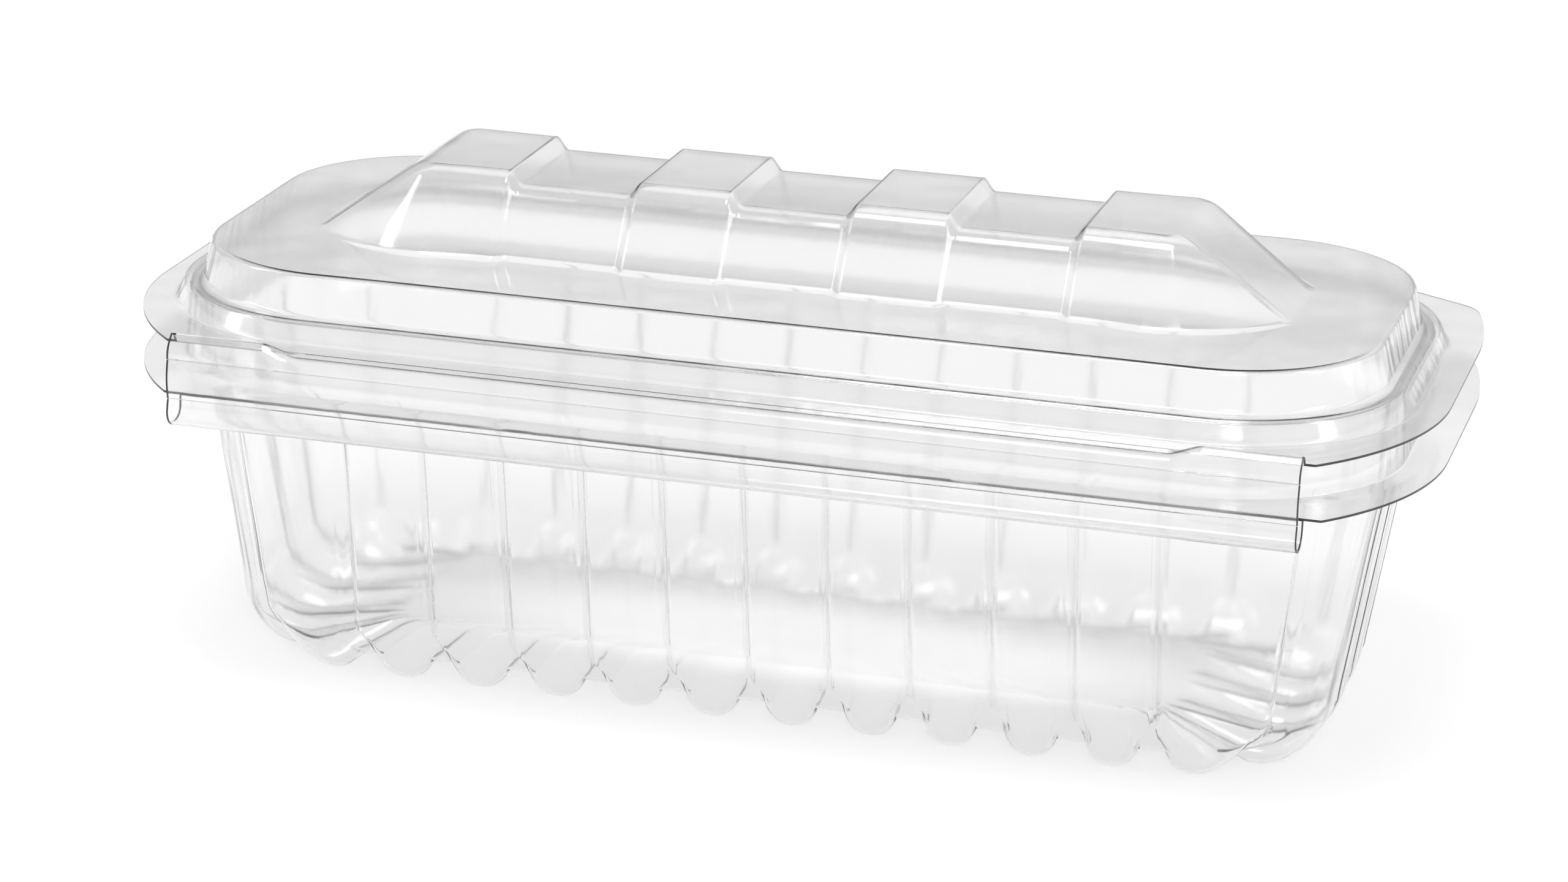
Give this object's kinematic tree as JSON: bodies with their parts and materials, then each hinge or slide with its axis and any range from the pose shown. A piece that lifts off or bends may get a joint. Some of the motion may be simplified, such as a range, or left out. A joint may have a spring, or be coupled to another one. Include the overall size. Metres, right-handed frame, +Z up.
{
  "type": "hinged clear food tray",
  "caption": "Clear thermoformed food tray: a fluted base on round feet and a domed lid with a castellated ridge, joined by a two-fold hinge strip.",
  "frame": {"origin": "middle of the box's underside, on the plane of the feet", "axes": "+X along the hinge, +Y away from the hinge, +Z up with the lid closed"},
  "size_m": [0.245, 0.124, 0.0952],
  "materials": {
    "base_sheet": "clear gloss",
    "strip_sheet": "clear gloss",
    "lid_sheet": "clear gloss"
  },
  "bodies": {
    "base_tray": {"base_tray": "base_sheet"},
    "hinge_strip": {"hinge_strip": "strip_sheet"},
    "lid": {"lid": "lid_sheet"}
  },
  "joints": [
    {"name": "lower_fold", "type": "hinge", "parent": "base_tray", "child": "hinge_strip", "pos_m": [0, -0.0615, 0.0595], "axis": [1, 0, 0], "range_deg": [0, 90]},
    {"name": "upper_fold", "type": "hinge", "parent": "hinge_strip", "child": "lid", "pos_m": [0, -0.0615, 0.0669], "axis": [1, 0, 0], "range_deg": [0, 90]}
  ]
}
